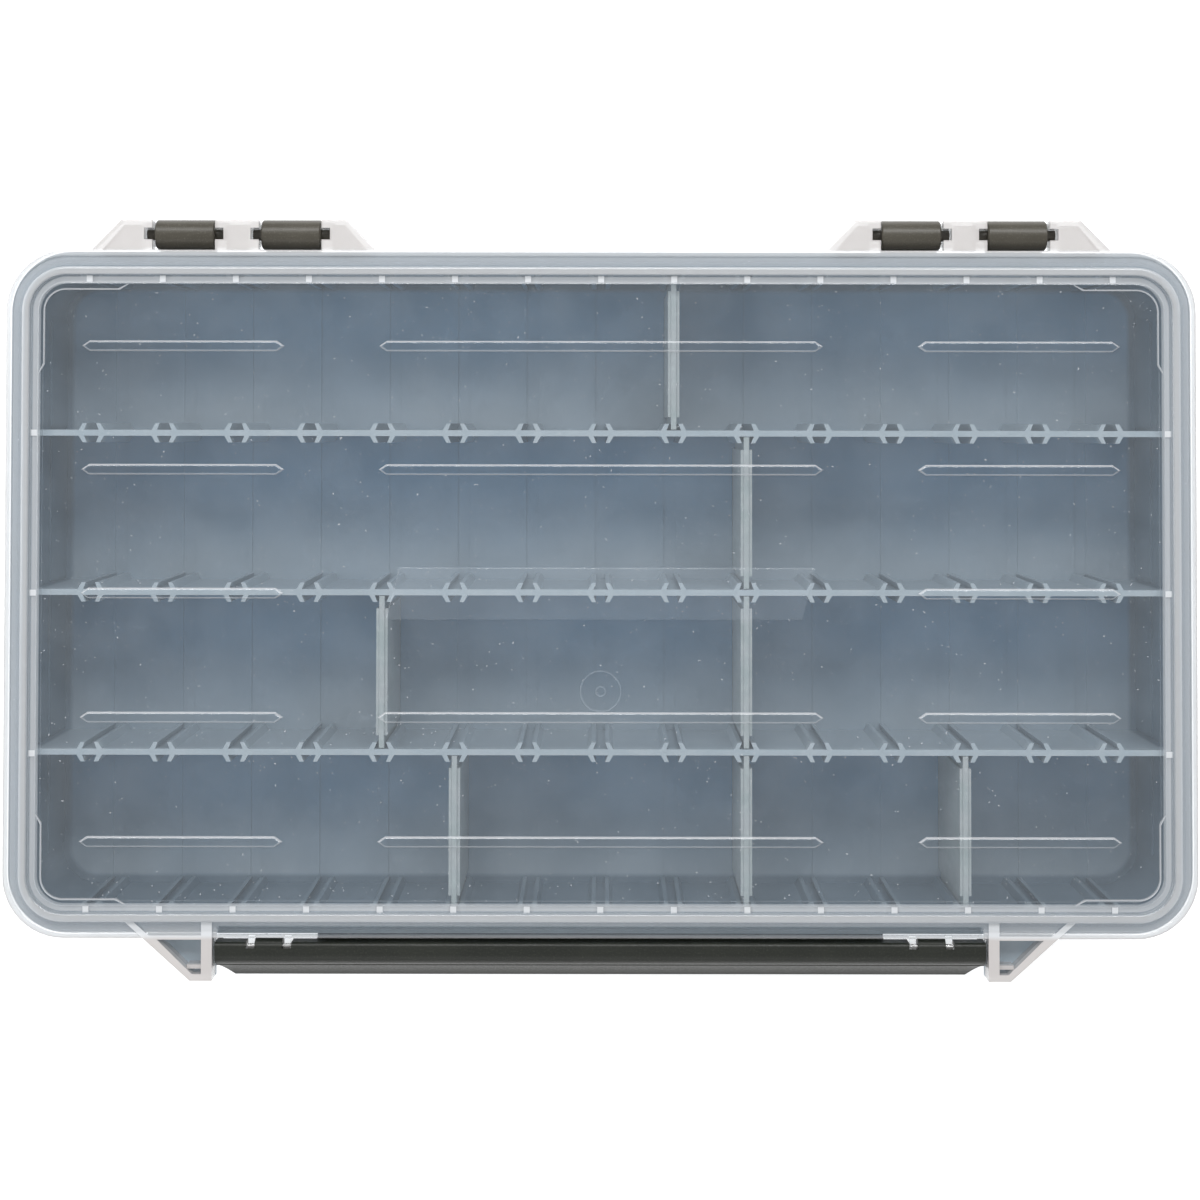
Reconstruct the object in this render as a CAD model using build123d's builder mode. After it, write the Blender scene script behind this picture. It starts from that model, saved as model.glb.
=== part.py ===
"""A flat clear-lidded tackle box with removable dividers, two hinges and a full-width latch.

Frame: +X along the box, +Y towards the hinges, +Z up. The origin is under the middle of the
whole box, latch and hinges counted, on the surface that the tray stands on.
"""
from build123d import *
import os

os.makedirs("parts", exist_ok=True)

# ---- driving sizes (mm) -----------------------------------------------------------------
# Outline of the closed box, without hinges and latch
length = 357.0
depth = 205.6
corner_radius = 18.5

# Tray
seam_height = 42.0          # top of the tray's flange, where the lid closes
tray_wall = 1.8
tray_floor = 2.2
rim_height = 3.4            # tray wall above the flange
flange_thickness = 2.0
flange_inset = 0.3
foot_height = 1.2           # step under the tray, which seats inside the ridge of a lid below
foot_inset = 10.4
row_count = 4
partition_thickness = 1.8
partition_drop = 0.4        # partition tops below the rim
ledge_height = 23.0         # thicker lower part of the two end walls
ledge_depth = 0.5
gusset_thickness = 1.6
gusset_drop = 9.0
gusset_spread = 0.2675 * depth
foot_round = 1.5
rim_round = 0.4

# Divider slots
slot_count = 15
slot_end_room = 36.0        # beyond the outermost slots, both ends together
guide_reach = 2.0           # how far a guide stands out from its wall
guide_root_gap = 4.4        # between a slot's two guides, at the wall
guide_tip_gap = 2.8         # between a slot's two guides, at their tips
guide_root_width = 1.6
guide_tip_width = 1.25
groove_width = 3.8          # shallow groove across the floor at each slot
groove_depth = 0.3

# Removable dividers
divider_core = 1.7
divider_body = 3.4
neck_length = 3.8
divider_gap = 0.2           # between a divider's end and a partition
shoulder_drop = 0.6         # divider's thick body below its core
divider_round = 0.3
divider_places = [(0, 8), (1, 9), (2, 4), (2, 9), (3, 5), (3, 9), (3, 12)]   # row from back, slot

# Lid
lid_gap = 0.3               # between the flange and the lid's skirt
skirt_width = 2.1
channel_bottom = 3.7        # heights above the seam
channel_top = 5.0
roof_bottom = 4.3
brim_top = 6.0
panel_bottom = 5.3
panel_top = 7.0
ridge_top = 8.0
ridge_inset = 5.1           # insets from the outline
ridge_width = 2.8
valley_width = 1.85
riser_width = 1.2
valley_top = 5.8
mark_width = 1.8            # small slot marks across the valley
edge_round = 0.7            # brim edges
ridge_round = 0.9
panel_round = 0.6

# Raised ribs and marks on the lid
rib_width = 3.3
rib_tip = 2.4
rib_height = 1.0
rib_round = 0.9
rib_row_pitch = 0.1795 * depth
side_rib_centre = 0.35 * length
side_rib_length = 0.17 * length
middle_rib_length = 0.3725 * length
plate_length = 0.36 * length
plate_width = 15.6
plate_slant = 4.0
plate_height = 0.6
plate_round = 0.45
gate_offset = 0.141 * depth
gate_radius = 6.2
corner_line_gap = 2.05      # panel edge to the line round its corner
corner_line_width = 0.45
corner_line_reach = 34.3
corner_line_flare = 2.6
corner_line_height = 0.8

# Lid seal
seal_cover = 0.6            # ridge edge to the seal's groove
seal_width = 1.4
seal_depth = 1.7
seal_clearance = 0.05

# Hinges
hinge_gap = 0.4             # outline to the barrel
knuckle_centres = [0.2618 * length, 0.3514 * length]
knuckle_length = 17.9
knuckle_radius = 4.5
stub_radius = 1.7
stub_length = 2.8
stub_clearance = 0.05
notch_clearance = 0.5
wing_inner = 0.189 * length
wing_outer = 0.4292 * length
wing_margin = 4.2           # behind the hinge axis
wing_taper = 8.9
wing_top = 5.2              # above the seam
wing_skin = 1.5
wing_round = 0.5
barrel_chamfer = 0.4
socket_radius = 3.75
socket_width = 3.2
leaf_thickness = 2.2
leaf_width = 15.0
leaf_bottom = 12.0
arm_thickness = 2.8
arm_gap = 0.3
rail_width = 3.0
rail_lip = 1.6
rail_clearance = 0.2

# Latch
latch_length = 0.6445 * length
pivot_setback = 2.8         # latch axis in front of the outline
pivot_height = 3.0          # latch axis above the seam
latch_top = 2.5             # heights and reaches from the latch axis
latch_inner = 1.5
web_thickness = 2.3
hook_width = 0.4775 * length
hook_gap = 0.3
hook_catch = 1.5            # nose under the flange
nose_height = 2.6
crown_reach = 5.6
lip_reach = 11.2
lip_drop = 11.4
shell = 1.7
cheek_thickness = 1.6
lip_chamfer = 4.0
tab_centres = [0.262 * length, 0.2925 * length]
tab_width = 2.1
tab_radius = 1.6
tab_clearance = 0.3
pin_radius = 0.8
pin_clearance = 0.06
latch_knuckle_radius = 2.4

# Guards at the latch's ends
guard_gap = 0.6
guard_reach = 12.4
guard_tip_width = 6.6
guard_base_width = 20.4
guard_wall = 2.0
guard_inner_wall = 3.2
guard_top = 6.4             # above the seam
recess_outer = 1.2          # recess in the brim along the latch, insets from the outline
recess_inner = 3.4
recess_bottom = 4.7         # above the seam

# ---- worked out from the driving sizes --------------------------------------------------
half_length = length / 2
half_depth = depth / 2
rim_inset = ridge_inset + lid_gap
panel_inset = ridge_inset + ridge_width + valley_width
corner_line_inset = panel_inset + corner_line_gap
seal_inset = ridge_inset + seal_cover
hinge_setback = knuckle_radius + hinge_gap
wing_reach = hinge_setback + wing_margin
front_reach = max(pivot_setback + lip_reach, guard_reach)
back_reach = max(hinge_setback + knuckle_radius, wing_reach)
body_y = (front_reach - back_reach) / 2
cavity_inset = rim_inset + tray_wall
cavity_half_length = half_length - cavity_inset
cavity_half_depth = half_depth - cavity_inset
row_pitch = 2 * cavity_half_depth / row_count
slot_pitch = (2 * cavity_half_length - slot_end_room) / (slot_count - 1)
partition_top = seam_height + rim_height - partition_drop
partition_offsets = [row_pitch * (row - row_count / 2) for row in range(1, row_count)]
slot_places = [slot_pitch * (slot - (slot_count - 1) / 2) for slot in range(slot_count)]
flange_bottom = seam_height - flange_thickness
hinge_y = half_depth + hinge_setback
pivot_y = -half_depth - pivot_setback
pivot_z = seam_height + pivot_height


# ---- helpers ----------------------------------------------------------------------------
def level(height):
    """The box's plan at a height, with its origin at the middle of the box."""
    return Plane(origin=(0, body_y, height))


def section(x):
    """The box's cross-section at a place along it: local X is across, local Y is up."""
    return Plane(origin=(x, body_y, 0), x_dir=(0, 1, 0), z_dir=(1, 0, 0))


def outline(inset, mode=Mode.ADD):
    """The box's rounded outline, moved inwards."""
    RectangleRounded(length - 2 * inset, depth - 2 * inset, corner_radius - inset, mode=mode)


def block(inset, bottom, top, mode=Mode.ADD):
    """A slab of the box's outline between two heights."""
    with BuildSketch(level(bottom)) as profile:
        outline(inset)
    extrude(profile.sketch, amount=top - bottom, mode=mode)


def band(outer, inner, bottom, top, mode=Mode.ADD):
    """A closed band round the box between two insets and two heights."""
    with BuildSketch(level(bottom)) as profile:
        outline(outer)
        outline(inner, mode=Mode.SUBTRACT)
    extrude(profile.sketch, amount=top - bottom, mode=mode)


def bar(x0, x1, y0, y1, z0, z1, mode=Mode.ADD):
    """A straight-sided block between two corners, Y measured from the middle of the box."""
    with Locations(((x0 + x1) / 2, body_y + (y0 + y1) / 2, (z0 + z1) / 2)):
        Box(abs(x1 - x0), abs(y1 - y0), abs(z1 - z0), mode=mode)


def prism(points, bottom, top, mode=Mode.ADD):
    """A plan polygon raised between two heights."""
    with BuildSketch(level(bottom)) as profile:
        with BuildLine():
            Polyline(*points, close=True)
        make_face()
    extrude(profile.sketch, amount=top - bottom, mode=mode)


def rod(x0, x1, y, z, radius, mode=Mode.ADD):
    """A round bar along X, centred on a point of the cross-section."""
    with BuildSketch(section(x0)) as profile:
        with Locations((y, z)):
            Circle(radius)
    extrude(profile.sketch, amount=x1 - x0, mode=mode)


def edges_at(piece, height):
    """All edges of a piece that lie at one height."""
    return piece.edges().filter_by_position(Axis.Z, height - 0.001, height + 0.001)


def finish(piece, name):
    """Label a finished piece and write it."""
    piece.part.label = name
    export_step(piece.part, f"parts/{name}.step")


def guard_outline(side):
    """Plan of the triangular guard beside one end of the latch."""
    inner = latch_length / 2 + guard_gap
    return [
        (side * inner, -half_depth + skirt_width / 2),
        (side * inner, -half_depth - guard_reach),
        (side * (inner + guard_tip_width), -half_depth - guard_reach),
        (side * (inner + guard_base_width), -half_depth),
        (side * (inner + guard_base_width), -half_depth + skirt_width / 2),
    ]


# ---- tray -------------------------------------------------------------------------------
def guide_points(side_x, side_y):
    """Plan of one slot guide, standing on a wall face at the origin and leaning to its slot."""
    root = guide_root_gap / 2
    tip = guide_tip_gap / 2
    foot = -partition_thickness / 4
    points = [
        (root, foot), (root + guide_root_width, foot), (root + guide_root_width, 0),
        (tip + guide_tip_width, guide_reach), (tip, guide_reach), (root, 0),
    ]
    return [(side_x * x, side_y * y) for x, y in points]


def guides(side_y, faces):
    """Both guides of every slot, on all the wall faces that look one way."""
    for side_x in (-1, 1):
        with Locations(*[(x, y) for x in slot_places for y in faces]):
            Polygon(*guide_points(side_x, side_y), align=(Align.NONE, Align.NONE))


with BuildPart() as base_tray:
    floor_top = foot_height + tray_floor
    block(rim_inset, foot_height, seam_height + rim_height)
    fillet(edges_at(base_tray, foot_height), foot_round)
    block(foot_inset, 0, floor_top)
    block(cavity_inset, floor_top, seam_height + rim_height, mode=Mode.SUBTRACT)
    fillet(edges_at(base_tray, seam_height + rim_height), rim_round)
    band(flange_inset, rim_inset + tray_wall / 2, flange_bottom, seam_height)
    with BuildSketch(level(floor_top - groove_depth)) as grooves:
        with Locations(*[(x, 0) for x in slot_places]):
            Rectangle(groove_width, 2 * cavity_half_depth)
    extrude(grooves.sketch, amount=2 * groove_depth, mode=Mode.SUBTRACT)
    # Thicker lower part of both end walls.
    for side in (-1, 1):
        for row in range(row_count):
            middle = row_pitch * (row - (row_count - 1) / 2)
            reach = row_pitch / 2 - partition_thickness
            if row in (0, row_count - 1):
                reach = reach - (corner_radius - cavity_inset) / 2
                middle = middle * (1 - (corner_radius - cavity_inset) / 2 / abs(middle))
            bar(
                side * (cavity_half_length - ledge_depth), side * (cavity_half_length + tray_wall / 2),
                middle - reach, middle + reach, floor_top, ledge_height,
            )
    # Ears of the flange under the guards, and gussets under the flange at both ends.
    for side in (-1, 1):
        prism(guard_outline(side), flange_bottom, seam_height)
        for place in (-gusset_spread, 0, gusset_spread):
            bar(
                side * (half_length - rim_inset - tray_wall / 2), side * (half_length - 2 * flange_inset - 1),
                place - gusset_thickness / 2, place + gusset_thickness / 2,
                flange_bottom - gusset_drop, flange_bottom,
            )
    # Rails that hold the four hinge leaves to the back wall.
    back_face = half_depth - rim_inset
    for side in (-1, 1):
        for centre in knuckle_centres:
            for edge in (-1, 1):
                inner = side * centre + edge * (leaf_width / 2 + rail_clearance)
                outer = inner + edge * rail_width
                lip = inner - edge * rail_lip
                front = back_face + leaf_thickness + rail_clearance
                bar(inner, outer, back_face - tray_wall / 2, front, leaf_bottom, flange_bottom - 8)
                bar(outer, lip, front, front + 1.4, leaf_bottom, flange_bottom - 8)
    # Partitions and slot guides rise together from below the grooves.
    with BuildSketch(level(floor_top - 2 * groove_depth)) as walls:
        with Locations(*[(0, offset) for offset in partition_offsets]):
            Rectangle(2 * cavity_half_length + tray_wall, partition_thickness)
        half = partition_thickness / 2
        guides(1, [-cavity_half_depth] + [offset + half for offset in partition_offsets])
        guides(-1, [cavity_half_depth] + [offset - half for offset in partition_offsets])
    extrude(walls.sketch, amount=partition_top - floor_top + 2 * groove_depth)
finish(base_tray, "base_tray")


# ---- lid --------------------------------------------------------------------------------
def rib_points(rib_length):
    """Plan of a long rib with pointed ends."""
    half = rib_length / 2
    side = rib_width / 2
    return [
        (-half, 0), (-half + rib_tip, side), (half - rib_tip, side),
        (half, 0), (half - rib_tip, -side), (-half + rib_tip, -side),
    ]


def line_flare(half_x, half_y):
    """Plan of the slanted end of a corner line, which runs out to the panel's edge."""
    start = half_x - corner_line_reach
    near = half_y - corner_line_inset
    return [
        (start + 0.2, near), (start - corner_line_flare, half_y - panel_inset - panel_round - 0.1),
        (start - corner_line_flare - corner_line_width, half_y - panel_inset - panel_round - 0.1),
        (start - corner_line_width / 2, near - corner_line_width), (start + 0.2, near - corner_line_width),
    ]


panel_skin = (panel_top - panel_bottom) / 2
wing_bottom = seam_height + lid_gap

with BuildPart() as lid:
    # Border, from the skirt inwards: skirt, channel, ridge over the seal, valley and panel.
    band(0, skirt_width, seam_height + lid_gap, seam_height + brim_top)
    fillet(edges_at(lid, seam_height + brim_top), edge_round)
    band(skirt_width - 0.2, ridge_inset + 0.4, seam_height + channel_bottom, seam_height + channel_top)
    band(ridge_inset, ridge_inset + ridge_width, seam_height + roof_bottom, seam_height + ridge_top)
    fillet(edges_at(lid, seam_height + ridge_top), ridge_round)
    band(
        ridge_inset + ridge_width - 0.2, panel_inset + 0.2,
        seam_height + roof_bottom, seam_height + valley_top,
    )
    band(panel_inset, panel_inset + riser_width, seam_height + roof_bottom, seam_height + panel_top)
    block(panel_inset + riser_width / 2, seam_height + panel_bottom, seam_height + panel_top)
    fillet(edges_at(lid, seam_height + panel_top), panel_round)
    band(
        seal_inset, seal_inset + seal_width,
        seam_height + roof_bottom, seam_height + roof_bottom + seal_depth, mode=Mode.SUBTRACT,
    )
    # Slot marks across the valley on the long sides, partition marks on the short ones.
    mark_outer = ridge_inset + ridge_width - 0.1
    mark_inner = panel_inset + 0.1
    mark_middle = (mark_outer + mark_inner) / 2
    with BuildSketch(level(seam_height + valley_top - 0.3)) as marks:
        with Locations(*[(x, side * (half_depth - mark_middle)) for x in slot_places for side in (-1, 1)]):
            Rectangle(mark_width, mark_inner - mark_outer)
        short_side = half_length - mark_middle
        with Locations(*[(side * short_side, y) for y in partition_offsets for side in (-1, 1)]):
            Rectangle(mark_inner - mark_outer, mark_width)
    extrude(marks.sketch, amount=brim_top - valley_top + 0.7)
    # Raised ribs, the blank plate in the middle, and the moulding gate.
    with BuildSketch(level(seam_height + panel_top - panel_skin)) as ribs:
        rib_columns = [(0, middle_rib_length)]
        rib_columns += [(side * side_rib_centre, side_rib_length) for side in (-1, 1)]
        for x, rib_length in rib_columns:
            rows = [row for row in range(-2, 3) if row != 0 or x != 0]
            with Locations(*[(x, row * rib_row_pitch) for row in rows]):
                Polygon(*rib_points(rib_length), align=(Align.NONE, Align.NONE))
    extrude(ribs.sketch, amount=panel_skin + rib_height)
    fillet(edges_at(lid, seam_height + panel_top + rib_height).filter_by(
        lambda edge: abs(edge.center().X) < half_length - panel_inset - rib_tip
        and abs(edge.center().Y - body_y) < half_depth - panel_inset), rib_round)
    half_plate = plate_length / 2
    prism(
        [
            (-half_plate, -plate_width / 2), (half_plate - plate_slant, -plate_width / 2),
            (half_plate, plate_width / 2), (-half_plate + plate_slant, plate_width / 2),
        ],
        seam_height + panel_top - panel_skin, seam_height + panel_top + plate_height,
    )
    fillet(edges_at(lid, seam_height + panel_top + plate_height), plate_round)
    with BuildSketch(level(seam_height + panel_top - panel_skin)) as gate:
        with Locations((0, -gate_offset)):
            Circle(gate_radius)
            Circle(gate_radius - 0.4, mode=Mode.SUBTRACT)
            Circle(1.6)
            Circle(1.2, mode=Mode.SUBTRACT)
    extrude(gate.sketch, amount=panel_skin + 0.4)
    # A fine raised line round each corner of the panel.
    with BuildSketch(level(seam_height + panel_top - panel_skin)) as corner_lines:
        outline(corner_line_inset)
        outline(corner_line_inset + corner_line_width, mode=Mode.SUBTRACT)
        Rectangle(length - 2 * corner_line_reach, depth, mode=Mode.SUBTRACT)
        Rectangle(length, depth - 2 * corner_line_reach, mode=Mode.SUBTRACT)
        for side_x in (-1, 1):
            for side_y in (-1, 1):
                for half_x, half_y, swap in ((half_length, half_depth, False), (half_depth, half_length, True)):
                    points = line_flare(half_x, half_y)
                    flare = [(y, x) if swap else (x, y) for x, y in points]
                    Polygon(*[(side_x * x, side_y * y) for x, y in flare], align=(Align.NONE, Align.NONE))
    extrude(corner_lines.sketch, amount=panel_skin + corner_line_height)

    # Hinge wings: a shallow upturned tray on each side, notched for the knuckles.
    for side in (-1, 1):
        prism(
            [
                (side * wing_inner, half_depth - skirt_width / 2),
                (side * wing_inner, half_depth),
                (side * (wing_inner + wing_taper), half_depth + wing_reach),
                (side * (wing_outer - wing_taper), half_depth + wing_reach),
                (side * wing_outer, half_depth),
                (side * wing_outer, half_depth - skirt_width / 2),
            ],
            wing_bottom, seam_height + wing_top,
        )
        back_edges = edges_at(lid, seam_height + wing_top).filter_by(
            lambda edge: edge.center().Y - body_y > half_depth + 1 and edge.center().X * side > 0)
        fillet(back_edges, wing_round)
        prism(
            [
                (side * (wing_inner + 2 * wing_skin), half_depth),
                (side * (wing_inner + wing_taper + wing_skin / 2), half_depth + wing_reach - wing_skin),
                (side * (wing_outer - wing_taper - wing_skin / 2), half_depth + wing_reach - wing_skin),
                (side * (wing_outer - 2 * wing_skin), half_depth),
            ],
            wing_bottom, seam_height + wing_top - wing_skin, mode=Mode.SUBTRACT,
        )
        for centre in knuckle_centres:
            middle = side * centre
            reach = knuckle_length / 2 + notch_clearance
            for edge in (-1, 1):
                face = middle + edge * reach
                far = face + edge * socket_width
                bar(
                    face, far, half_depth - 0.5, half_depth + wing_reach - wing_skin / 2,
                    wing_bottom, seam_height + wing_top - wing_skin / 2,
                )
                rod(min(face, far), max(face, far), hinge_y, seam_height, socket_radius)
            bar(
                middle - reach, middle + reach, half_depth, half_depth + 2 * wing_reach,
                seam_height - socket_radius, seam_height + ridge_top, mode=Mode.SUBTRACT,
            )
        for centre in knuckle_centres:
            middle = side * centre
            for edge in (-1, 1):
                start = middle + edge * knuckle_length / 2
                end = middle + edge * (knuckle_length / 2 + stub_length + stub_clearance * 4)
                slot = stub_radius + stub_clearance
                rod(min(start, end), max(start, end), hinge_y, seam_height, slot, mode=Mode.SUBTRACT)
                bar(
                    start, end, hinge_y - slot, hinge_y + slot,
                    seam_height, seam_height + ridge_top, mode=Mode.SUBTRACT,
                )
        # Guard frame beside the latch, with its two ribs running on over the brim.
        prism(guard_outline(side), seam_height + lid_gap, seam_height + guard_top)
        inner = latch_length / 2 + guard_gap
        slope = (guard_base_width - guard_tip_width) / guard_reach
        for rib_inner, lean in ((inner, 0), (inner + guard_base_width - 1.3 * guard_wall, slope)):
            width = guard_inner_wall if lean == 0 else 1.3 * guard_wall
            prism(
                [
                    (side * rib_inner, -half_depth), (side * (rib_inner + width), -half_depth),
                    (side * (rib_inner + width + lean * (ridge_inset + 0.3)), -half_depth + ridge_inset + 0.3),
                    (side * (rib_inner + lean * (ridge_inset + 0.3)), -half_depth + ridge_inset + 0.3),
                ],
                seam_height + channel_bottom + 0.6, seam_height + guard_top,
            )
        prism(
            [
                (side * (inner + guard_inner_wall), -half_depth - 0.2),
                (side * (inner + guard_inner_wall), -half_depth - guard_reach + guard_wall),
                (side * (inner + guard_tip_width - 0.6), -half_depth - guard_reach + guard_wall),
                (side * (inner + guard_base_width - 2 * guard_wall), -half_depth - 0.2),
            ],
            seam_height - 1, seam_height + ridge_top, mode=Mode.SUBTRACT,
        )
        bar(
            side * (inner + 0.5), side * (inner + guard_tip_width + 1),
            -half_depth - guard_reach + 3.4, -half_depth - guard_reach + 4.6,
            seam_height + lid_gap, seam_height + guard_top - 1,
        )
        # Latch tabs: an eye on the latch's axis, joined to the skirt below the axis.
        for centre in tab_centres:
            x0 = side * centre - tab_width / 2
            x1 = side * centre + tab_width / 2
            rod(x0, x1, pivot_y, pivot_z, tab_radius)
            bar(x0, x1, pivot_y, -half_depth + skirt_width / 2, pivot_z - tab_radius, pivot_z)
            rod(x0, x1, pivot_y, pivot_z, pin_radius, mode=Mode.SUBTRACT)
    # Shallow recess in the brim along the latch.
    with BuildSketch(level(seam_height + recess_bottom)) as recess:
        with Locations((0, -half_depth + (recess_outer + recess_inner) / 2)):
            SlotOverall(latch_length - 2, recess_inner - recess_outer)
    extrude(recess.sketch, amount=ridge_top, mode=Mode.SUBTRACT)
finish(lid, "lid")

with BuildPart() as lid_seal:
    band(
        seal_inset + seal_clearance, seal_inset + seal_width - seal_clearance,
        seam_height + rim_height + lid_gap, seam_height + roof_bottom + seal_depth,
    )
finish(lid_seal, "lid_seal")


# ---- hinge knuckles ---------------------------------------------------------------------
def hinge_knuckle(knuckle, middle):
    """One hinge: barrel and stubs on the hinge axis, arm under the flange, leaf on the back wall."""
    half = knuckle_length / 2
    arm_top = flange_bottom - arm_gap
    back_face = half_depth - rim_inset
    rod(middle - half, middle + half, hinge_y, seam_height, knuckle_radius)
    chamfer(knuckle.edges().filter_by(GeomType.CIRCLE), barrel_chamfer)
    rod(middle - half - stub_length, middle + half + stub_length, hinge_y, seam_height, stub_radius)
    bar(
        middle - half + 0.6, middle + half - 0.6, back_face + leaf_thickness / 2, hinge_y,
        arm_top - arm_thickness, arm_top,
    )
    bar(
        middle - leaf_width / 2, middle + leaf_width / 2, back_face, back_face + leaf_thickness,
        leaf_bottom, arm_top,
    )


knuckle_names = ["hinge_knuckle_left_outer", "hinge_knuckle_left_inner",
                 "hinge_knuckle_right_inner", "hinge_knuckle_right_outer"]
knuckle_middles = [-knuckle_centres[1], -knuckle_centres[0], knuckle_centres[0], knuckle_centres[1]]
for name, middle in zip(knuckle_names, knuckle_middles):
    with BuildPart() as knuckle:
        hinge_knuckle(knuckle, middle)
    finish(knuckle, name)

# ---- latch ------------------------------------------------------------------------------
nose_top = -(pivot_height + flange_thickness + hook_gap)
nose_reach = pivot_setback + flange_inset + hook_catch


def latch_cover(closing=()):
    """Curves of the latch's cover, from its inner top corner over the crown to the lip.

    With closing points given, the outline runs straight back through them; otherwise it
    comes back along the inside of the cover, one shell thickness away.
    """
    def at(y, z):
        return (pivot_y + y, pivot_z + z)

    inner_y = latch_inner - web_thickness
    Line(at(latch_inner, -1.0), at(latch_inner, 1.4))
    ThreePointArc(at(latch_inner, 1.4), at(latch_inner - 0.35, 2.15), at(latch_inner - 1.2, latch_top))
    Line(at(latch_inner - 1.2, latch_top), at(-1.6, latch_top))
    ThreePointArc(at(-1.6, latch_top), at(-4.3, 1.5), at(-crown_reach, -0.8))
    Line(at(-crown_reach, -0.8), at(-crown_reach - 0.4, -1.1))
    ThreePointArc(at(-crown_reach - 0.4, -1.1), at(-7.7, -6.9), at(-lip_reach, -lip_drop))
    if closing:
        Polyline(at(-lip_reach, -lip_drop), *[at(*point) for point in closing], at(latch_inner, -1.0))
        return
    Line(at(-lip_reach, -lip_drop), at(-lip_reach + 1.1, -lip_drop - 0.8))
    ThreePointArc(at(-lip_reach + 1.1, -lip_drop - 0.8), at(-6.1, -7.2), at(-crown_reach + shell - 0.4, -1.6))
    ThreePointArc(at(-crown_reach + shell - 0.4, -1.6), at(-3.5, 0.1), at(-2.2, latch_top - shell))
    Polyline(
        at(-2.2, latch_top - shell), at(inner_y, latch_top - shell), at(inner_y, -1.0), at(latch_inner, -1.0),
    )


with BuildPart() as latch:
    half = latch_length / 2
    with BuildSketch(section(-half)) as cover:
        with BuildLine():
            latch_cover()
        make_face()
    extrude(cover.sketch, amount=latch_length)
    # Web and nose that snap under the tray's flange.
    web_y0 = pivot_y + latch_inner - web_thickness
    web_y1 = pivot_y + latch_inner
    bar(-half, half, web_y0, web_y1, pivot_z - 3.0, pivot_z)
    bar(-hook_width / 2, hook_width / 2, web_y0, web_y1, pivot_z + nose_top - nose_height, pivot_z)
    bar(
        -hook_width / 2, hook_width / 2, web_y0, pivot_y + nose_reach,
        pivot_z + nose_top - nose_height, pivot_z + nose_top,
    )
    # End cheeks.
    for side in (-1, 1):
        with BuildSketch(section(side * half - (cheek_thickness if side > 0 else 0))) as cheek:
            with BuildLine():
                latch_cover(closing=[(latch_inner - web_thickness, -6.0), (latch_inner, -4.0)])
            make_face()
        extrude(cheek.sketch, amount=cheek_thickness)
        prism(
            [
                (side * (half + 1), pivot_y - lip_reach - 1),
                (side * (half - lip_chamfer - 1), pivot_y - lip_reach - 1),
                (side * (half + 1), pivot_y - lip_reach + lip_chamfer + 1),
            ],
            pivot_z - 2 * lip_drop, pivot_z + latch_top, mode=Mode.SUBTRACT,
        )
        # Room for the lid's tabs, and a knuckle between each pair.
        for centre in tab_centres:
            x0 = side * centre - tab_width / 2 - tab_clearance
            x1 = side * centre + tab_width / 2 + tab_clearance
            rod(x0, x1, pivot_y, pivot_z, tab_radius + tab_clearance, mode=Mode.SUBTRACT)
            bar(
                x0, x1, pivot_y - tab_clearance, pivot_y + pivot_setback,
                pivot_z - 6, pivot_z + latch_top + 1, mode=Mode.SUBTRACT,
            )
            bar(
                x0, x1, pivot_y - tab_radius - tab_clearance, pivot_y,
                pivot_z - 6, pivot_z, mode=Mode.SUBTRACT,
            )
        x0 = side * tab_centres[0] + side * (tab_width / 2 + tab_clearance)
        x1 = side * tab_centres[1] - side * (tab_width / 2 + tab_clearance)
        rod(min(x0, x1), max(x0, x1), pivot_y, pivot_z, latch_knuckle_radius)
        rod(min(x0, x1) - 2, max(x0, x1) + 2, pivot_y, pivot_z, pin_radius + pin_clearance, mode=Mode.SUBTRACT)
finish(latch, "latch")

for name, side in (("latch_pin_left", -1), ("latch_pin_right", 1)):
    ends = [side * (tab_centres[0] - tab_width / 2), side * (tab_centres[1] + tab_width / 2)]
    with BuildPart() as pin:
        rod(min(ends), max(ends), pivot_y, pivot_z, pin_radius)
    finish(pin, name)

# ---- dividers ---------------------------------------------------------------------------
divider_length = row_pitch - partition_thickness - 2 * divider_gap
for number, (row, slot) in enumerate(divider_places, start=1):
    x = slot_places[slot]
    y = row_pitch * ((row_count - 1) / 2 - row)
    bottom = floor_top - groove_depth
    with BuildPart() as divider:
        bar(
            x - divider_core / 2, x + divider_core / 2, y - divider_length / 2, y + divider_length / 2,
            bottom, partition_top,
        )
        fillet(edges_at(divider, partition_top), divider_round)
        bar(
            x - divider_body / 2, x + divider_body / 2,
            y - divider_length / 2 + neck_length, y + divider_length / 2 - neck_length,
            bottom, partition_top - shoulder_drop,
        )
    finish(divider, f"divider_{number}")
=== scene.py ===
"""Looks of a flat clear-lidded tackle box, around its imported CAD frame."""
import math

import bpy
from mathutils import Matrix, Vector


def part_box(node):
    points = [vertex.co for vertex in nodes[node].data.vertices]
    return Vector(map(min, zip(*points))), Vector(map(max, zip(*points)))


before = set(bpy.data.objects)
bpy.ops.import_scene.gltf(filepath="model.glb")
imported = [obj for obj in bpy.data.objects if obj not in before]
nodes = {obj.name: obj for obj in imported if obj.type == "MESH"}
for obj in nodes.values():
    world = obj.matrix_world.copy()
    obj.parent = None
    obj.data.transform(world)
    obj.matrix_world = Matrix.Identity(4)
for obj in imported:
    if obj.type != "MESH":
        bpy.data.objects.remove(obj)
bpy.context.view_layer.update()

MM = 0.001
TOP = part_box("lid")[1].z             # ridge and ribs
TRAY_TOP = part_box("base_tray")[1].z
HALF_X, HALF_Y = 178.5 * MM, 102.8 * MM   # the lid's outline, about CENTRE_Y
CENTRE_Y = 2.3 * MM
CORNER = 18.5 * MM
PANEL = 9.75 * MM                    # outline to the lid's panel
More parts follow.
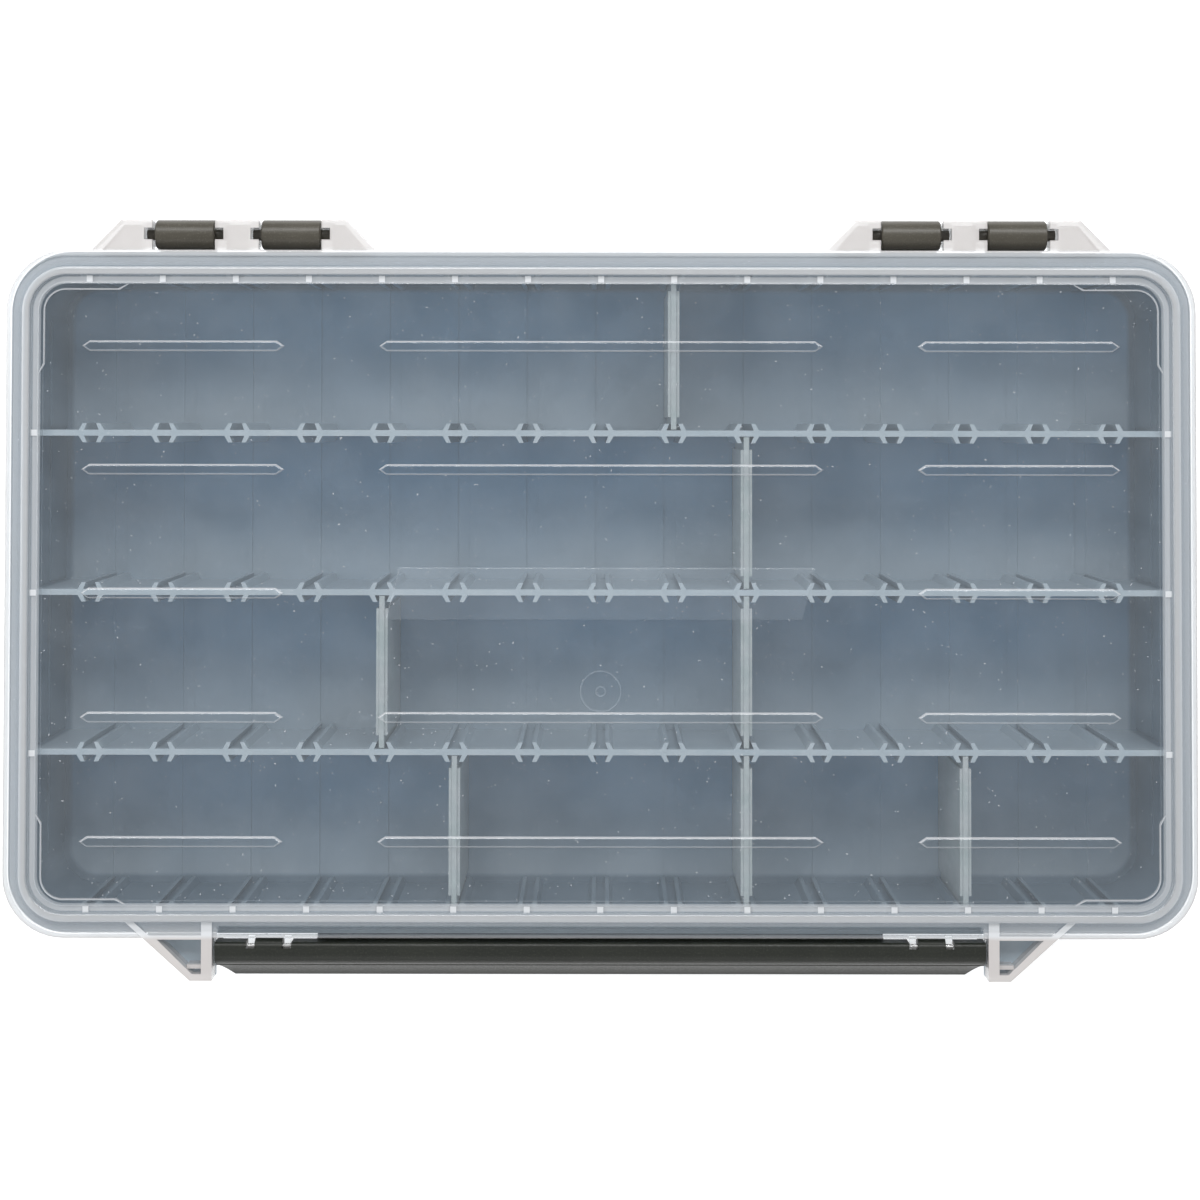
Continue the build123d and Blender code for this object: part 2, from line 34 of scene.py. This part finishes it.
ROW = 47.8 * MM                      # one row of compartments
STRIP_HALF = 114.0 * MM              # half the length of the lid's edge behind the latch
PLATE_HALF = 66 * MM                 # half the length of the plate on the lid's panel
PLATE_FRONT, PLATE_BACK = -8 * MM, 12.5 * MM


# ---- camera -----------------------------------------------------------------------------
# Straight down from a little behind the middle, with the film shifted so that the box fills it.
def make_camera():
    data = bpy.data.cameras.new("camera")
    data.sensor_width = 36.0
    data.lens = 64.5
    data.shift_x = -0.0008
    data.shift_y = -0.187
    data.clip_start = 0.01
    data.clip_end = 20.0
    camera = bpy.data.objects.new("camera", data)
    camera.location = (0.0, 52.8 * MM, 692.0 * MM)
    camera.rotation_euler = (math.radians(1.3), 0.0, math.radians(0.08))
    bpy.context.scene.collection.objects.link(camera)
    bpy.context.scene.camera = camera


# ---- studio -----------------------------------------------------------------------------
def make_floor():
    half = 3.0
    mesh = bpy.data.meshes.new("floor")
    corners = [(-half, -half, 0), (half, -half, 0), (half, half, 0), (-half, half, 0)]
    mesh.from_pydata(corners, [], [(0, 1, 2, 3)])
    floor = bpy.data.objects.new("floor", mesh)
    bpy.context.scene.collection.objects.link(floor)
    material = bpy.data.materials.new("floor")
    material.use_nodes = True
    shader = material.node_tree.nodes["Principled BSDF"]
    shader.inputs["Base Color"].default_value = (0.93, 0.93, 0.93, 1.0)
    shader.inputs["Roughness"].default_value = 0.9
    shader.inputs["Specular IOR Level"].default_value = 0.1
    shader.inputs["Emission Color"].default_value = (1.0, 1.0, 1.0, 1.0)
    shader.inputs["Emission Strength"].default_value = 0.55
    mesh.materials.append(material)


def softbox(name, place, width, height, power):
    """A rectangular area light, aimed at the middle of the box."""
    data = bpy.data.lights.new(name, "AREA")
    data.shape = "RECTANGLE"
    data.size = width
    data.size_y = height
    data.energy = power
    light = bpy.data.objects.new(name, data)
    light.location = place
    aim = Vector((0.0, 0.0, TOP)) - Vector(place)
    light.rotation_euler = aim.to_track_quat("-Z", "Y").to_euler()
    bpy.context.scene.collection.objects.link(light)


def make_studio():
    make_floor()
    world = bpy.data.worlds.new("studio")
    world.use_nodes = True
    background = world.node_tree.nodes["Background"]
    background.inputs["Color"].default_value = (1.0, 1.0, 1.0, 1.0)
    background.inputs["Strength"].default_value = 0.60
    bpy.context.scene.world = world
    bpy.context.scene.view_settings.view_transform = "Standard"
    softbox("back_softbox", (0.1, 0.95, 1.15), 1.5, 0.42, 17.0)
    softbox("front_softbox", (-0.2, -1.2, 0.9), 1.4, 0.5, 2.6)
    softbox("side_softbox", (-1.2, 0.2, 0.8), 0.6, 1.2, 6.0)


# ---- material helpers -------------------------------------------------------------------
class Graph:
    """A material's node tree, built by short calls. A value that is a socket is linked."""

    def __init__(self, name):
        self.material = bpy.data.materials.new(name)
        self.material.use_nodes = True
        self.tree = self.material.node_tree
        self.tree.nodes.clear()
        self.output = self.add("ShaderNodeOutputMaterial")
        self.place = self.add("ShaderNodeTexCoord")

    def add(self, kind, inputs=None, **settings):
        node = self.tree.nodes.new(kind)
        for key, value in settings.items():
            setattr(node, key, value)
        for key, value in (inputs or {}).items():
            if isinstance(value, bpy.types.NodeSocket):
                self.tree.links.new(value, node.inputs[key])
            else:
                node.inputs[key].default_value = value
        return node

    def math(self, operation, a, b=0.0, c=0.0):
        return self.add("ShaderNodeMath", {0: a, 1: b, 2: c}, operation=operation).outputs[0]

    def product(self, first, *others):
        total = first
        for value in others:
            total = self.math("MULTIPLY", total, value)
        return total

    def less(self, value, share):
        """Value with this share of it taken away."""
        return self.math("MULTIPLY", value, self.math("SUBTRACT", 1.0, share))

    def ramp(self, value, low, high, start=0.0, end=1.0):
        """Value from low..high to start..end, smoothly and clamped."""
        inputs = {"Value": value, "From Min": low, "From Max": high, "To Min": start, "To Max": end}
        return self.add("ShaderNodeMapRange", inputs, interpolation_type="SMOOTHSTEP").outputs[0]

    def noise(self, size, detail=3.0, roughness=0.5, stretch=None):
        """Noise with features of about this size in metres, the same at every pose."""
        place = self.place.outputs["Object"]
        if stretch:
            place = self.add("ShaderNodeMapping", {"Vector": place, "Scale": stretch}).outputs[0]
        inputs = {"Vector": place, "Scale": 1.0 / size, "Detail": detail, "Roughness": roughness}
        return self.add("ShaderNodeTexNoise", inputs).outputs[0]

    def colour(self, factor, a, b):
        """Colour a at factor 0 and b at 1."""
        node = self.add("ShaderNodeMix", {0: factor}, data_type="RGBA")
        for socket, value in ((node.inputs[6], a), (node.inputs[7], b)):
            if isinstance(value, bpy.types.NodeSocket):
                self.tree.links.new(value, socket)
            else:
                socket.default_value = (*value, 1.0)
        return node.outputs[2]

    def curve(self, value, points):
        """Value read off a line through points of (place, level)."""
        first, last = points[0][0], points[-1][0]
        spot = self.math("DIVIDE", self.math("SUBTRACT", value, first), last - first)
        node = self.add("ShaderNodeValToRGB", {0: spot})
        elements = node.color_ramp.elements
        elements.remove(elements[1])
        elements[0].position = 0.0
        elements[0].color = (points[0][1],) * 3 + (1.0,)
        for place, level in points[1:]:
            elements.new((place - first) / (last - first)).color = (level,) * 3 + (1.0,)
        return node.outputs[0]

    def window(self, value, low, high, soft):
        """1 between two values and 0 outside them."""
        rise = self.ramp(value, low - soft, low + soft)
        return self.math("MULTIPLY", rise, self.ramp(value, high - soft, high + soft, 1.0, 0.0))

    def axis(self, index):
        return self.add("ShaderNodeSeparateXYZ", {0: self.place.outputs["Object"]}).outputs[index]

    def height(self):
        return self.axis(2)

    def facing(self, index):
        return self.add("ShaderNodeSeparateXYZ", {0: self.place.outputs["Normal"]}).outputs[index]

    def outside_panel(self):
        """Distance outwards from the edge of the lid's panel, in millimetres."""
        radius = CORNER - PANEL
        reach = []
        for index, middle, half in ((0, 0.0, HALF_X - PANEL), (1, CENTRE_Y, HALF_Y - PANEL)):
            off = self.math("ABSOLUTE", self.math("SUBTRACT", self.axis(index), middle))
            reach.append(self.math("SUBTRACT", off, half - radius))
        square = [self.math("POWER", self.math("MAXIMUM", value, 0.0), 2.0) for value in reach]
        beyond = self.math("SQRT", self.math("ADD", square[0], square[1]))
        within = self.math("MINIMUM", self.math("MAXIMUM", reach[0], reach[1]), 0.0)
        total = self.math("SUBTRACT", self.math("ADD", beyond, within), radius)
        return self.math("DIVIDE", total, MM)

    def steepness(self, low=0.80, high=0.998):
        """0 on level faces and 1 on rounded edges and upright ones."""
        return self.ramp(self.math("ABSOLUTE", self.facing(2)), low, high, 1.0, 0.0)

    def bump(self, height, distance, strength=1.0):
        inputs = {"Height": height, "Distance": distance, "Strength": strength}
        return self.add("ShaderNodeBump", inputs).outputs[0]

    def finish(self, shader):
        self.tree.links.new(shader, self.output.inputs["Surface"])
        return self.material


# ---- materials --------------------------------------------------------------------------
def beside_latch(g):
    """1 along the lid's edge behind the latch, and 0 elsewhere."""
    along = g.window(g.axis(0), -STRIP_HALF, STRIP_HALF, 0.8 * MM)
    return g.math("MULTIPLY", along, g.ramp(g.axis(1), -90 * MM, -85 * MM, 1.0, 0.0))


def border_haze(g, out, latch_side):
    """From the panel outwards: valley, ridge, channel and brim, then wings and guards."""
    border = g.curve(out, [
        (-0.6, 0.05), (-0.2, 0.50), (0.15, 0.48), (0.5, 0.42), (1.5, 0.46), (1.95, 0.14), (2.4, 0.46),
        (2.8, 0.52), (4.1, 0.50), (4.6, 0.36), (4.8, 0.16), (5.3, 0.32), (7.2, 0.36), (7.8, 0.48),
        (9.0, 0.54), (9.6, 0.68), (10.4, 0.76), (12.0, 0.78),
    ])
    # Behind the latch a strip of the brim is clearer, and so is the lip outside it.
    strip = g.product(g.window(out, 6.3, 8.6, 0.25), latch_side, 0.9)
    border = g.less(border, strip)
    lip = g.product(g.ramp(out, 8.4, 8.8), latch_side, 0.78)
    return g.less(border, lip)


def rib_frost_and_highlight(g, inside, frost):
    """Edges of the panel's ribs: frosted, with a painted highlight where they look backwards, and
    faint on the plate.
    """
    # Painted highlight: rib edges that face the back are made milkier, so they show a bright line
    # like the back light's reflection.
    back = g.ramp(g.facing(1), 0.15, 0.75, 0.34, 0.50)
    on_plate = g.product(
        g.window(g.axis(0), -PLATE_HALF, PLATE_HALF, 0.5 * MM),
        g.window(g.axis(1), PLATE_FRONT, PLATE_BACK, 0.5 * MM))
    return g.product(frost, back, inside, g.math("MULTIPLY_ADD", on_plate, -0.7, 1.0))


def raised_haze(g, haze_and_highlight, height, inside):
    """Haze with the level tops of small raised shapes, each told by its depth below the lid's top."""
    top = TOP / MM
    level = g.ramp(g.facing(2), 0.90, 0.99)
    border = g.math("SUBTRACT", 1.0, inside)
    marks = g.product(g.window(height, top - 1.85, top - 1.2, 0.08), level, border)
    haze_and_highlight = g.math("MULTIPLY_ADD", marks, 0.42, haze_and_highlight)
    # The lines round the corners, the gate ring and the plate.
    for low, high, strength in ((0.28, 0.12, 0.38), (0.68, 0.52, 0.10), (0.48, 0.32, 0.06)):
        shape = g.product(g.window(height, top - low, top - high, 0.03), level)
        haze_and_highlight = g.math("MULTIPLY_ADD", shape, strength, haze_and_highlight)
    return haze_and_highlight


def lid_haze_and_highlight(g, out, cloud):
    """How milky the lid is, from 0 for clear to 0.92, with a painted highlight on the ribs' back
    edges.
    """
    height = g.math("DIVIDE", g.height(), MM)
    top = TOP / MM
    latch_side = beside_latch(g)
    inside = g.ramp(out, -0.9, -0.5, 1.0, 0.0)
    frost = g.steepness()
    scuff = g.ramp(g.noise(5 * MM, 6.0, 0.65, stretch=(0.5, 2.2, 1.0)), 0.62, 0.80, 0.0, 0.05)
    speck = g.ramp(g.noise(0.7 * MM, 0.0), 0.835, 0.87, 0.0, 0.45)
    haze_and_highlight = g.math("ADD", g.ramp(cloud, 0.2, 0.8, 0.055, 0.085), scuff)
    haze_and_highlight = g.math("ADD", haze_and_highlight, speck)

    upper = g.ramp(height, top - 4.6, top - 4.2)
    haze_and_highlight = g.math("MAXIMUM", haze_and_highlight, g.product(border_haze(g, out, latch_side), upper))
    # The ribs' frost, with a painted highlight on their back edges.
    haze_and_highlight = g.math("ADD", haze_and_highlight, rib_frost_and_highlight(g, inside, frost))
    haze_and_highlight = raised_haze(g, haze_and_highlight, height, inside)
    # The skirt's steep sides are milky, and the latch's tabs less so.
    tabs = g.product(g.ramp(out, 9.8, 10.1), latch_side)
    sides = g.product(g.ramp(height, top - 4.6, top - 2.2, 1.0, 0.0), frost)
    sides = g.product(sides, g.math("MULTIPLY_ADD", tabs, -0.42, 0.5))
    haze_and_highlight = g.math("MAXIMUM", haze_and_highlight, sides)
    return g.math("MINIMUM", haze_and_highlight, 0.92)


def clear_plastic():
    """Lid: see-through panel, milky border, and frosted edges, marks and wings."""
    g = Graph("clear_plastic")
    out = g.outside_panel()
    cloud = g.noise(16 * MM, 3.0)
    fine = g.noise(0.9 * MM, 2.0)
    haze_and_highlight = lid_haze_and_highlight(g, out, cloud)
    warm = g.ramp(out, 8.5, 10.2)
    tint = g.colour(g.ramp(haze_and_highlight, 0.1, 0.5), (0.52, 0.60, 0.68), (0.67, 0.69, 0.715))
    body = g.add("ShaderNodeBsdfPrincipled", {
        "Base Color": g.colour(warm, tint, (0.55, 0.525, 0.515)),
        "Roughness": 0.30,
        "IOR": 1.5,
        "Normal": g.bump(fine, 0.02 * MM, 0.5),
    })
    clear = g.add("ShaderNodeBsdfTransparent", {"Color": (0.97, 0.98, 0.985, 1.0)})
    hazy = g.add("ShaderNodeMixShader", {0: haze_and_highlight, 1: clear.outputs[0], 2: body.outputs[0]})
    gloss = g.add("ShaderNodeBsdfGlossy", {
        "Color": (1.0, 1.0, 1.0, 1.0),
        "Roughness": 0.07,
        "Normal": g.bump(cloud, 0.12 * MM, 0.5),
    })
    # Faces met from inside don't shine, because the light isn't bent in the thin plastic.
    fresnel = g.add("ShaderNodeFresnel", {"IOR": 1.42}).outputs[0]
    inner_face = g.add("ShaderNodeNewGeometry").outputs["Backfacing"]
    shine = g.less(fresnel, inner_face)
    skin = g.add("ShaderNodeMixShader", {0: shine, 1: hazy.outputs[0], 2: gloss.outputs[0]})
    return g.finish(skin.outputs[0])


def slate_plastic():
    """Tray: smoky blue-grey, with painted light making its rim and steep edges lighter, and painted
    shade in each row.
    """
    g = Graph("slate_plastic")
    mottle = g.noise(32 * MM, 2.0)
    cloud = g.noise(6 * MM, 3.0)
    grain = g.noise(0.5 * MM, 2.0)
    # Painted shade: each row's floor is darker and bluer towards its back wall, in that wall's shade,
    # and greyer towards the front one.
    place = g.math("DIVIDE", g.math("SUBTRACT", g.axis(1), CENTRE_Y), ROW)
    back = g.ramp(g.math("FRACT", g.math("ADD", place, 10.0)), 0.05, 0.80)
    back = g.math("MULTIPLY_ADD", g.ramp(mottle, 0.3, 0.7), 0.10, g.math("MULTIPLY", back, 0.90))
    deep = g.colour(back, (0.250, 0.295, 0.335), (0.088, 0.218, 0.368))
    deep = g.colour(g.ramp(cloud, 0.35, 0.85, 0.0, 0.10), deep, (0.23, 0.27, 0.31))
    light = g.colour(g.ramp(cloud, 0.3, 0.8), (0.33, 0.385, 0.425), (0.38, 0.425, 0.46))
    # Painted light: the walls lighten towards the rim for the glow of the thin plastic, and steep
    # faces lighten to lift the shade on them.
    painted_rim_light = g.ramp(g.height(), TRAY_TOP - 9 * MM, TRAY_TOP - 2 * MM)
    edge = g.math("MULTIPLY", g.steepness(0.4, 0.999), 0.45)
    shine = g.math("MAXIMUM", painted_rim_light, edge)
    # The outer walls below the flange are darker and get none of the painted light, because no milky
    # lid lies over them.
    low = g.ramp(g.height(), 38 * MM, 40 * MM, 1.0, 0.0)
    wall = g.math("MULTIPLY", g.ramp(g.outside_panel(), -1.0, 1.0), low)
    deep = g.colour(wall, deep, (0.085, 0.125, 0.165))
    shine = g.less(shine, wall)
    body = g.add("ShaderNodeBsdfPrincipled", {
        "Base Color": g.colour(shine, deep, light),
        "Roughness": 0.30,
        "IOR": 1.49,
        "Normal": g.bump(grain, 0.015 * MM, 0.4),
    })
    return g.finish(body.outputs[0])


def divider_plastic():
    """Dividers: paler, faintly green, with flow lines along their height."""
    g = Graph("divider_plastic")
    flow = g.noise(2.0 * MM, 3.0, stretch=(1.0, 1.0, 0.15))
    cloud = g.noise(9 * MM, 2.0)
    tone = g.colour(g.ramp(cloud, 0.3, 0.7), (0.30, 0.345, 0.345), (0.36, 0.38, 0.39))
    tone = g.colour(g.ramp(flow, 0.45, 0.8, 0.0, 0.4), tone, (0.47, 0.50, 0.50))
    body = g.add("ShaderNodeBsdfPrincipled", {
        "Base Color": tone,
        "Roughness": 0.34,
        "Normal": g.bump(flow, 0.03 * MM, 0.5),
    })
    return g.finish(body.outputs[0])


def grained_plastic(name, dark, pale, grain_size, grain_depth, roughness):
    """Dark plastic with a spark-eroded grain, paler in its blotches."""
    g = Graph(name)
    grain = g.noise(grain_size, 2.0, 0.6)
    blotch = g.noise(18 * MM, 3.0)
    tone = g.colour(g.ramp(grain, 0.50, 0.78, 0.0, 0.55), dark, pale)
    tone = g.colour(g.ramp(blotch, 0.35, 0.85, 0.0, 0.18), tone, pale)
    body = g.add("ShaderNodeBsdfPrincipled", {
        "Base Color": tone,
        "Roughness": g.ramp(grain, 0.3, 0.7, roughness - 0.08, roughness + 0.08),
        "Specular IOR Level": 0.38,
        "Normal": g.bump(grain, grain_depth, 0.8),
    })
    return g.finish(body.outputs[0])


def silicone():
    """Seal: pale, soft and matt, with faint dust."""
    g = Graph("silicone")
    dust = g.noise(1.5 * MM, 4.0)
    body = g.add("ShaderNodeBsdfPrincipled", {
        "Base Color": g.colour(g.ramp(dust, 0.4, 0.8), (0.58, 0.60, 0.62), (0.68, 0.69, 0.70)),
        "Roughness": 0.6,
        "Normal": g.bump(dust, 0.03 * MM, 0.5),
    })
    return g.finish(body.outputs[0])


def drawn_steel():
    """Pins: drawn wire with scratches along its length."""
    g = Graph("drawn_steel")
    line = g.noise(0.25 * MM, 3.0, stretch=(0.05, 1.0, 1.0))
    body = g.add("ShaderNodeBsdfPrincipled", {
        "Base Color": g.colour(line, (0.50, 0.50, 0.49), (0.66, 0.66, 0.65)),
        "Metallic": 1.0,
        "Roughness": g.ramp(line, 0.3, 0.7, 0.24, 0.40),
        "Normal": g.bump(line, 0.01 * MM, 0.4),
    })
    return g.finish(body.outputs[0])


def dress(node, material):
    """Give a CAD node its material."""
    mesh = nodes[node].data
    mesh.materials.clear()
    mesh.materials.append(material)


def dress_all():
    slate = slate_plastic()
    divider = divider_plastic()
    hinge = grained_plastic(
        "hinge_plastic", (0.052, 0.047, 0.036), (0.12, 0.112, 0.090), 0.45 * MM, 0.04 * MM, 0.36)
    latch = grained_plastic(
        "latch_plastic", (0.010, 0.012, 0.009), (0.046, 0.050, 0.038), 0.50 * MM, 0.08 * MM, 0.42)
    steel = drawn_steel()
    dress("base_tray", slate)
    dress("lid", clear_plastic())
    dress("lid_seal", silicone())
    dress("latch", latch)
    for name in nodes:
        if name.startswith("divider"):
            dress(name, divider)
        elif name.startswith("hinge"):
            dress(name, hinge)
        elif name.startswith("latch_pin"):
            dress(name, steel)


make_camera()
make_studio()
dress_all()
